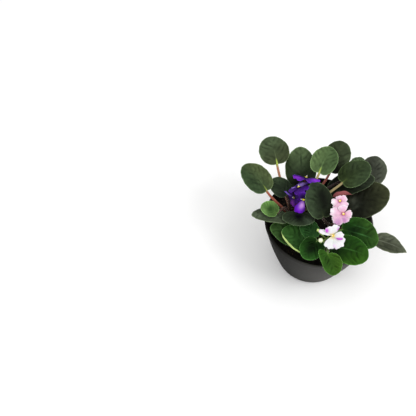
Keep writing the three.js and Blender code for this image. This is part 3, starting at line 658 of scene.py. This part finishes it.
def blade(body, plant, leaf, seed):
    """A leaf blade that is quilted between its veins, with hairs at its rim."""
    length, width = leaf["size"]
    draw = np.random.default_rng([SEED, seed])
    place, angle = disc(BLADE_TURNS, BLADE_RINGS, RING_POWER)
    edge_x, edge_y = leaf_outline(leaf, angle)
    tooth = 2 * BLADE_TOOTH / width * np.cos(BLADE_TEETH * angle) * np.abs(np.sin(angle))
    reach = place * (1 + tooth * place**8)
    x = BLADE_HUB * length + reach * (edge_x - BLADE_HUB * length)
    y = reach * edge_y

    # Veins and quilting fade out at the rim, round the petiole and beside the midrib
    line, between = leaf_veins(leaf, x, y, seed)
    fade = (1 - place**6) * smooth(np.hypot(x, y), 1, 8)
    beside = fade * smooth(np.abs(y), 0.5, 3)
    phases = draw.uniform(0, 2 * pi, len(RIM_WAVES))
    wave = sum(np.sin(n * angle + phase) for n, phase in zip(RIM_WAVES, phases)) / len(RIM_WAVES)
    relief = (plant["quilt"] * between - VEIN_LINE["depth"] * line) * beside
    relief = relief + ripples(x, y, LUMPS, seed) * fade + RIM_LIFT * wave * place**5
    aside, lift = folded(leaf, x, y)
    upper = leaf_points(leaf, x, y + aside, leaf_rise(leaf, x, y) + lift + relief)
    thickness = BLADE_THICKNESS - (BLADE_THICKNESS - BLADE_EDGE) * place**10

    above = blade_tints(plant, leaf, x, y, place, line * beside, between * beside, seed)
    below = linear(leaf.get("under", plant["under"])) * (1 + 0.12 * ripple(x, y, 20, seed + 130))[:, None]
    below = mixed(below, below * VEIN_SHADE_AND_TONE["under"], line * fade)
    rim, outwards = sheet(body, BLADE_TURNS, upper, thickness, above, below)

    count = RIM_HAIRS["count"]
    pick = draw.integers(0, BLADE_TURNS, count)
    share = draw.uniform(0, 1, (count, 1))
    roots = rim[pick] * (1 - share) + rim[(pick + 1) % BLADE_TURNS] * share
    hairs(body, draw, roots, outwards[pick], RIM_HAIRS)


def petiole(body, plant, leaf, crown, seed):
    """A petiole that bends up from its crown to its blade and sinks into it as a tapering midrib."""
    length = leaf["size"][0]
    along, _, up = axes_of(leaf["aim"])
    hub = leaf_points(leaf, BLADE_HUB * length, 0, leaf_rise(leaf, BLADE_HUB * length, 0))
    root, tip = PETIOLE_RADII
    end = leaf_points(leaf, 0, 0, leaf_rise(leaf, 0, 0) - tip)
    outwards = unit((hub - crown) * [1, 1, 0])
    start = crown + outwards * PETIOLE_START["out"] - [0, 0, PETIOLE_START["down"]]
    arrival = along + up * 4 * leaf["form"][0]
    free = stem_line(start, end, arrival, PETIOLE_BEND, PETIOLE_STEPS, leaf.get("bow", (0, 0, 0)))

    share = np.linspace(0, 1, MIDRIB["steps"] + 1)[1:]
    rib_x = share * MIDRIB["reach"] * length
    rib_radii = tip + (MIDRIB["tip"] - tip) * share ** MIDRIB["taper"]
    depth = rib_radii + MIDRIB["sink"] * smooth(share, 0, 0.2)
    rib = leaf_points(leaf, rib_x, 0, leaf_rise(leaf, rib_x, 0) - depth)
    line = np.concatenate([free, rib])
    radii = np.concatenate([np.linspace(root, tip, len(free)), rib_radii])

    # Fresh green close to the blade and dark close to the crown
    tint = linear(leaf.get("petiole", plant["petiole"]))
    fresh = mixed(tint, linear(RIB_TINT), 0.8 * leaf.get("rib", 0))
    near = np.concatenate([smooth(np.linspace(0, 1, len(free)), 0.93, 1), np.ones(len(rib))])
    tints = mixed(tint, fresh, near)
    tints = tints * (0.35 + 0.65 * smooth(np.arange(len(line)), 2, 20))[:, None]
    surface, outward = tube(body, line, radii, tints, sides=PETIOLE_SIDES, lumps=0.03, seed=seed)
    draw = np.random.default_rng([SEED, seed, 2])
    pick = draw.integers(PETIOLE_SIDES * 2, PETIOLE_SIDES * len(free), PETIOLE_HAIRS["count"])
    hairs(body, draw, surface[pick], outward[pick], PETIOLE_HAIRS)


def crown_stem(body, plant, crown):
    """The short thick stem that the petioles grow from, knobbly with old leaf scars."""
    line = np.linspace([*crown[:2], COMPOST_TOP - CROWN_DEPTH], crown, CROWN_STEPS)
    share = smooth(line[:, 2], crown[2] - CROWN_SHOULDER, crown[2])
    radii = CROWN_RADIUS + (CROWN_TIP_RADIUS - CROWN_RADIUS) * share
    tints = mixed(linear("#5a4630"), linear(plant["petiole"]) * 0.8, share)
    tube(body, line, radii, tints, sides=24, lumps=0.05, seed=len(plant["leaves"]))


# Blooms

def petal_axes(bloom, turn, lean, twist):
    """The along, side and up axes of a petal."""
    out, right, upper = axes_of(bloom["aim"])
    angle, tilt, roll = np.radians([turn, lean, twist])
    outwards = right * cos(angle) + upper * sin(angle)
    along = outwards * cos(tilt) + out * sin(tilt)
    level = np.cross(out, outwards)
    side = level * cos(roll) + np.cross(along, level) * sin(roll)
    return along, side, np.cross(along, side)


def petal(body, bloom, look, shape, seed, marks_and_painted_light):
    """A petal: a ruffled disc that is widest towards its tip, with its spots of colour, painted shade and
    painted highlights.
    """
    turn, share, lean, breadth, twist = (*shape, *(1, 0)[len(shape) - 3:])
    along, side, up = petal_axes(bloom, turn, lean, twist)
    start = bloom["at"] + along * PETAL["start"]
    length = bloom["radius"] * share - PETAL["start"]
    width = PETAL["width"] * bloom["radius"] * share * breadth
    draw = np.random.default_rng([SEED, seed, 3])
    phases = draw.uniform(0, 2 * pi, 4)

    place, angle = disc(PETAL_TURNS, PETAL_RINGS)
    outer = (1 - np.cos(angle)) / 2
    notches = np.sin(FRILLS[0] * angle + phases[0]) + 0.7 * np.sin(FRILLS[1] * angle + phases[1])
    frill = 1 + look["frill"] * outer * notches / 1.7
    x = length * (PETAL_HUB + place * (outer * frill - PETAL_HUB))
    v = place * np.sin(angle) * (1 - PETAL["fullness"] * np.cos(angle)) * frill
    forward = np.clip(x / length, 0, 1)
    streaks = np.cos(STREAKS * v + 0.5 * np.sin(6 * forward))
    wave = np.sin(RUFFLES[0] * angle + phases[2]) + 0.6 * np.sin(RUFFLES[1] * angle + phases[3])
    height = PETAL["arch"] * np.sin(pi * np.clip(x / length, -0.1, 1.1)) - PETAL["droop"] * v * v
    height = height + (RUFFLE["least"] + RUFFLE["frill"] * look["frill"]) * wave * place**3 * forward
    height = height + STREAK_RISE * streaks * (1 - place**4) * forward
    surface = start + x[:, None] * along + (width / 2 * v)[:, None] * side + height[:, None] * up

    tint = mixed(linear(look["face"]), linear(look["tip"]), smooth(forward, 0.3, 1))
    tint = mixed(tint, linear(look["heart"]), 1 - smooth(forward, 0.02, 0.32))
    tint = mixed(tint, linear(look["edge"]), 0.8 * smooth(place, 0.8, 1) * forward)
    streak = look["streak"] * np.clip(streaks, 0, 1) * (1 - place**3)
    # A bloom's shade is painted shade over all of it
    tint = mixed(tint, tint * 0.4, streak) * bloom.get("shade", 1)
    tint = spotted(tint, marks_and_painted_light, forward, v)
    sheet(body, PETAL_TURNS, surface, PETAL_THICKNESS * (1 - 0.5 * place**6), tint, tint * 0.9)


def bloom_body(plant, bloom, seed):
    """A corolla of a tube and five petals, with the style and stigma."""
    look = plant["look"]
    body = Body()
    out, right, _ = axes_of(bloom["aim"])
    at = bloom["at"]
    places = np.linspace(THROAT["places"][0], THROAT["places"][-1], 9)
    radii = np.interp(places, THROAT["places"], THROAT["radii"])
    tints = mixed(linear(look["face"]), linear(look["heart"]), np.linspace(0, 1, 9))
    tube(body, at + places[:, None] * out, radii, tints, sides=20)
    for i, shape in enumerate(bloom["petals"]):
        marks_and_painted_light = [(tint, *spot) for tint, which, *spot in bloom.get("marks_and_painted_light", []) if which == i]
        petal(body, bloom, look, shape, seed + i, marks_and_painted_light)
    aside = bloom.get("stigma", STIGMA_ASIDE) * right
    style = bezier([at + 0.5 * out, at + 2.5 * out - 0.4 * aside, at + 4.2 * out - aside], 8)
    pale = mixed(linear(look["tip"]), linear(STIGMA_TINT), 0.8)
    tube(body, style, np.linspace(0.4, 0.35, 9), pale, sides=8)
    egg(body, style[-1], out, 1.6, 1.8, pale, rings=6, sides=8)
    return body


def anther_body(bloom, yellow):
    """A pair of two-lobed pollen sacs on short stalks."""
    body = Body()
    out, right, upper = axes_of(bloom["aim"])
    centre = bloom["at"] + out * (THROAT["places"][-1] + GAP + ANTHER["width"] / 2)
    for side in (-1, 1):
        axis = unit(upper + right * ANTHER["splay"] * side)
        middle = centre + right * ANTHER["offset"] * side
        for half in (-1, 1):
            egg(body, middle + right * 0.42 * half, axis, ANTHER["length"], ANTHER["width"] * 0.62, yellow)
        foot = [middle - upper * 0.6, middle - out * 1.2 - upper * 0.5, middle - out * 2.4]
        tube(body, bezier(foot, 5), np.full(6, 0.35), yellow * 0.9, sides=8)
    return body


# Flower stalks

def sepal(body, root, out, outwards, tint):
    """A narrow pointed leaf behind the bloom, hollowed along its middle."""
    across = np.cross(out, outwards)
    lean = unit(outwards + out * SEPAL["lean"])
    flat = np.cross(across, lean)
    share = np.linspace(0, 1, 9)[:, None]
    width = SEPAL["width"] / 2 * np.sin(pi * (0.25 + 0.75 * share)) ** 0.8
    centre = root + share * SEPAL["length"] * lean + 0.8 * share**2 * flat
    hollow, ridge = SEPAL_HOLLOW * (1 - share), SEPAL_THICKNESS / 2 * (1 - share) + 0.05
    ring = [centre - width * across, centre - hollow * flat, centre + width * across, centre + ridge * flat]
    points = np.stack(ring, axis=1).reshape(-1, 3)
    faces = [bands(9, 4), np.array([[3, 2, 1, 0]]), np.array([[32, 33, 34, 35]])]
    body.add(points, faces, tint)


def stalk_body(plant, crown, seed):
    """A flower stalk with its pedicels, the calyx behind each bloom, and its buds."""
    body = Body()
    draw = np.random.default_rng([SEED, seed, 4])
    tint = linear(plant["stalk"])

    def shoot(line, radius, sides, count):
        radii = np.full(len(line), radius)
        surface, outward = tube(body, line, radii, tint, sides=sides, seed=seed)
        pick = draw.integers(0, len(surface), count)
        hairs(body, draw, surface[pick], outward[pick], STALK_HAIRS)

    foot = crown + [0, 0, GAP - 1.5]
    fork = plant["fork"]
    bend = foot + [0, 0, STALK_BEND * (fork[2] - foot[2])]
    shoot(bezier([foot, bend, fork], 20), STALK_RADIUS, 12, 160)
    for bloom in plant["blooms"]:
        out, right, upper = axes_of(bloom["aim"])
        seat = bloom["at"] + out * THROAT["places"][0]
        back = seat - out * CALYX["length"]
        shoot(stem_line(fork, back, out, PEDICEL_BEND, 16), PEDICEL_RADIUS, 10, 90)
        tube(body, np.linspace(back, seat, 5), np.linspace(*CALYX["radii"], 5), tint)
        for turn in 2 * pi * (np.arange(5) + 0.5) / 5:
            outwards = upper * cos(turn) + right * sin(turn)
            sepal(body, seat - out * CALYX["length"] / 2, out, outwards, tint * 1.15)
    for bud in plant["buds"]:
        out, right, upper = axes_of(bud["aim"])
        seat, length = bud["at"], bud["length"]
        end = seat + out * BUD["sink"] * length
        shoot(stem_line(fork, end, out, PEDICEL_BEND, 16), PEDICEL_RADIUS, 10, 60)
        egg(body, seat + out * length / 2, out, length, BUD["width"] * length, linear(bud["tint"]), seams=5)
        for turn in circle(5):
            outwards = upper * cos(turn) + right * sin(turn)
            root = seat + out * 0.12 * length + outwards * 0.1 * length
            egg(body, root + out * 0.2 * length + outwards * 0.2 * length, out + 0.45 * outwards,
                0.7 * length, 0.3 * length, tint * 1.15, rings=8, sides=10)
    return body


# Pot and compost

def wall_radius(height):
    share = 1 - (1 - height / POT_HEIGHT) ** BULGE
    return FOOT_RADIUS + (RIM_RADIUS - FOOT_RADIUS) * share - RIM_BEAD


def arc(centre, radius, start, end, steps=5):
    """Points of a round edge in a profile, from one angle to another in degrees."""
    angles = np.radians(np.linspace(start, end, steps))
    return [(centre[0] + radius * cos(a), centre[1] + radius * sin(a)) for a in angles]


def pot_body():
    """The pot, turned about its axis from a profile of radius and height."""
    body = Body()
    bead_foot = POT_HEIGHT - RIM_BEAD_HEIGHT
    foot = FOOT_RADIUS - FOOT_CHAMFER - RIM_BEAD
    profile = [
        (foot - 6, 0),
        (foot - 1, 0),
        *arc((foot, ROUND_FOOT), ROUND_FOOT, -90, -40),
        *[(wall_radius(z), z) for z in np.linspace(FOOT_CHAMFER, bead_foot - 0.5, 22)],
        *arc((RIM_RADIUS - ROUND_BEAD, bead_foot + ROUND_BEAD), ROUND_BEAD, -60, 0),
        *arc((RIM_RADIUS - ROUND_RIM, POT_HEIGHT - ROUND_RIM), ROUND_RIM, 0, 90),
        *arc((RIM_RADIUS - RIM_LIP + ROUND_LIP, POT_HEIGHT - ROUND_LIP), ROUND_LIP, 90, 180),
        *[(wall_radius(z) - WALL, z) for z in np.linspace(bead_foot, POT_CLOSED, 6)],
    ]
    turns = circle(POT_SIDES)
    flat = np.column_stack([np.cos(turns), np.sin(turns), 0 * turns])
    rows = [radius * flat + [0, 0, height] for radius, height in profile]
    points = np.concatenate([*rows, [[0, 0, 0], [0, 0, POT_CLOSED]]])
    # Painted light: the pot turns greyer towards the front right, where the key lamp falls, and towards its
    # foot, lit from the floor
    towards = (POT_TINT["towards"][0] * points[:, 0] + POT_TINT["towards"][1] * points[:, 1]) / RIM_RADIUS
    painted_light = POT_TINT["least"] + (1 - POT_TINT["least"]) * smooth(towards, *POT_TINT["reach"])
    painted_light = painted_light * (1 - 0.5 * points[:, 2] / POT_HEIGHT)
    tints = mixed(linear(POT_TINT["dark"]), linear(POT_TINT["painted_light"]), painted_light)
    body.add(points, capped(len(profile), POT_SIDES), tints)
    return body


def compost_height(x, y):
    """The loose crumbly top of the compost, a low mound with dips at the wall."""
    away = np.hypot(x, y) / (wall_radius(COMPOST_TOP) - WALL)
    crumbly = 0.7 * ripple(x, y, 9, 302) + 0.5 * ripple(x, y, 4.5, 303, 9)
    return COMPOST_TOP + COMPOST_MOUND * (1 - away**2.2) + 0.9 * ripple(x, y, 24, 301) + crumbly


def compost_body():
    body = Body()
    turns = circle(COMPOST_SIDES)
    outer = wall_radius(COMPOST_TOP) - WALL - GAP
    floor = POT_CLOSED + 1.0
    rows = []
    for radius in outer * np.arange(COMPOST_RINGS, 0, -1) / COMPOST_RINGS:
        x, y = radius * np.cos(turns), radius * np.sin(turns)
        rows.append(np.column_stack([x, y, compost_height(x, y)]))
    skirt = np.column_stack([rows[0][:, :2] * 0.995, np.full(COMPOST_SIDES, floor)])
    middle = [[0, 0, floor], [0, 0, compost_height(0, 0)]]
    points = np.concatenate([skirt, *rows, middle])
    shade = 1 + 0.4 * ripple(points[:, 0], points[:, 1], 6, 305)
    # Near black: the compost's own dark brown, made darker still as painted shade under the leaves
    tints = linear("#13100c") * np.clip(shade, 0.4, 2)[:, None]
    body.add(points, capped(COMPOST_RINGS + 1, COMPOST_SIDES), tints)
    return body


def crumb_body():
    """Loose crumbs of peat, bark and perlite scattered on the compost."""
    body = Body()
    draw = np.random.default_rng([SEED, 77])
    widest = wall_radius(COMPOST_TOP) - WALL - CRUMB_CLEAR
    for tint, count, (low, high) in CRUMBS:
        for _ in range(count):
            away = widest * sqrt(draw.uniform())
            turn = draw.uniform(0, CRUMB_TURN)
            x, y = away * cos(turn), away * sin(turn)
            size = draw.uniform(low, high)
            axis = draw.normal(0, 1, 3) + [0, 0, 0.1]
            spot = np.array([x, y, compost_height(x, y) + 0.2 * size])
            egg(body, spot, axis, size * draw.uniform(1, 1.8), size, linear(tint) * draw.uniform(0.6, 1.3),
                seams=int(draw.integers(0, 4)), rings=4, sides=7)
    return body


# Materials

def put(node, **inputs):
    """Sets inputs of a shader node. Underscores stand for the spaces in their names."""
    for name, value in inputs.items():
        node.inputs[name.replace("_", " ")].default_value = value
    return node


def sheen(weight, roughness, tint):
    return {"Sheen_Weight": weight, "Sheen_Roughness": roughness, "Sheen_Tint": (*linear(tint), 1)}


def material(name, roughness, specular, grain, tone=0.15, **more):
    """A material that takes its colour from the mesh, varied and roughened by noise. grain is the bump's
    scale for each metre, its strength and its depth, and tone is how far the colour varies."""
    made = bpy.data.materials.new(name)
    made.use_nodes = True
    tree = made.node_tree
    link = tree.links.new
    shader = put(tree.nodes["Principled BSDF"], Specular_IOR_Level=specular, **more)

    def node(kind, **inputs):
        return put(tree.nodes.new("ShaderNode" + kind), **inputs)

    scale, strength, depth = grain
    place = node("TexCoord")
    fine = node("TexNoise", Scale=scale, Detail=3)
    cells = node("TexVoronoi", Scale=scale * 0.6)
    broad = node("TexNoise", Scale=scale * 0.09, Detail=4)
    for texture in (fine, cells, broad):
        link(place.outputs["Object"], texture.inputs["Vector"])

    tint = node("Attribute")
    tint.attribute_name = "Tint"
    spread = node("MapRange", From_Min=0.3, From_Max=0.7, To_Min=1 - tone, To_Max=1 + tone)
    link(broad.outputs["Fac"], spread.inputs["Value"])
    shade = node("VectorMath")
    shade.operation = "SCALE"
    link(tint.outputs["Color"], shade.inputs[0])
    link(spread.outputs["Result"], shade.inputs["Scale"])
    link(shade.outputs["Vector"], shader.inputs["Base Color"])

    dull = node("MapRange", To_Min=max(0, roughness - 0.1), To_Max=min(1, roughness + 0.1))
    link(fine.outputs["Fac"], dull.inputs["Value"])
    link(dull.outputs["Result"], shader.inputs["Roughness"])

    rise = node("Math")
    rise.operation = "MULTIPLY_ADD"
    rise.inputs[1].default_value = 0.6
    link(cells.outputs["Distance"], rise.inputs[0])
    link(fine.outputs["Fac"], rise.inputs[2])
    bump = node("Bump", Strength=strength, Distance=depth)
    link(rise.outputs["Value"], bump.inputs["Height"])
    link(bump.outputs["Normal"], shader.inputs["Normal"])
    return made


LEAF = material("velvet leaf", 0.6, 0.05, (850, 0.5, 0.0003), **sheen(0.03, 0.4, "#b9d0a0"))
STEM = material("fleshy stem", 0.5, 0.25, (1200, 0.3, 0.0002), **sheen(0.08, 0.4, "#e8d8cc"))
HAIR = material("plant hair", 0.5, 0.3, (900, 0.05, 0.0001), 0.05)
VIOLET = material("violet petal", 0.55, 0.1, (2200, 0.25, 0.0001), 0.12, **sheen(0.05, 0.35, "#b48cf0"))
PALE = material("pale petal", 0.6, 0.2, (2200, 0.25, 0.0001), 0.04, **sheen(0.1, 0.4, "#ffffff"),
                Subsurface_Weight=0.25, Subsurface_Scale=0.002, Subsurface_Radius=(1.0, 0.6, 0.8))
POLLEN = material("pollen sac", 0.7, 0.2, (3500, 0.5, 0.0001), 0.1)
EARTH = material("compost", 0.95, 0.15, (1500, 0.9, 0.0006), 0.4)
PLASTIC = material("pot plastic", 0.65, 0.04, (3000, 0.12, 0.00006), 0.06)

# The object, with seeds of their own for leaves and blooms

pot_body().piece("pot_wall", [PLASTIC], ["pot"], "pot")
compost_body().piece("compost_top", [EARTH], ["compost"], "compost")
crumb_body().piece("compost_crumbs", [EARTH], ["compost"], "compost")

for p, plant in enumerate(PLANTS):
    name, crown = plant["name"], np.asarray(plant["crown"], float)
    stems = Body()
    crown_stem(stems, plant, crown)
    for i, leaf in enumerate(plant["leaves"]):
        petiole(stems, plant, leaf, crown, 20 * p + i)
        made = Body()
        blade(made, plant, leaf, 20 * p + i)
        made.piece(f"{name}_blade_{i + 1}", [LEAF, HAIR], [f"{name}_leaf_{i + 1}"], f"{name}_leaves")
    stems.piece(f"{name}_petioles", [STEM, HAIR], [f"{name}_crown"], f"{name}_petioles")
    stalk = stalk_body(plant, crown, p)
    stalk.piece(f"{name}_stalk", [STEM, HAIR], [f"{name}_flower_stalk"], f"{name}_flower_stalk")
    skin = VIOLET if name == "left" else PALE
    for i, bloom in enumerate(plant["blooms"]):
        made = bloom_body(plant, bloom, 100 * p + 10 * i)
        made.piece(f"{name}_corolla_{i + 1}", [skin], [f"{name}_bloom_{i + 1}"], f"{name}_blooms")
        made = anther_body(bloom, linear(bloom.get("pollen", plant["pollen"])))
        made.piece(f"{name}_pollen_{i + 1}", [POLLEN], [f"{name}_anthers_{i + 1}"], "anthers")

# Floor, light and camera

bpy.ops.mesh.primitive_plane_add(size=6, location=(0, 0, -0.0003))
floor = bpy.context.object
floor.name = "floor"
paper = bpy.data.materials.new("pale floor")
paper.use_nodes = True
put(paper.node_tree.nodes["Principled BSDF"], Base_Color=(0.98, 0.98, 0.98, 1), Roughness=0.9)
floor.data.materials.append(paper)


def lamp(name, place, size, power):
    """A square soft light that faces the plants."""
    light = bpy.data.lights.new(name, "AREA")
    light.size, light.energy = size, power
    made = bpy.data.objects.new(name, light)
    made.location = place
    made.rotation_euler = (Vector((0, 0, 0.12)) - Vector(place)).to_track_quat("-Z", "Y").to_euler()
    bpy.context.scene.collection.objects.link(made)


lamp("key", (1.0, -0.5, 1.6), 0.9, 13)
lamp("fill", (-1.1, -0.6, 1.4), 1.6, 6)

world = bpy.data.worlds.new("studio")
world.use_nodes = True
put(world.node_tree.nodes["Background"], Color=(1, 1, 1, 1), Strength=0.86)
scene = bpy.context.scene
scene.world = world
scene.view_settings.view_transform = "Standard"

# The camera stands in front of the pot, a little to its left, and looks 55 degrees down
camera = bpy.data.objects.new("camera", bpy.data.cameras.new("camera"))
camera.location = (-0.195, -0.589, 0.996)
camera.rotation_euler = (radians(90 - 55), 0, 0)
camera.data.lens = 52
camera.data.sensor_width = 36
scene.collection.objects.link(camera)
scene.camera = camera
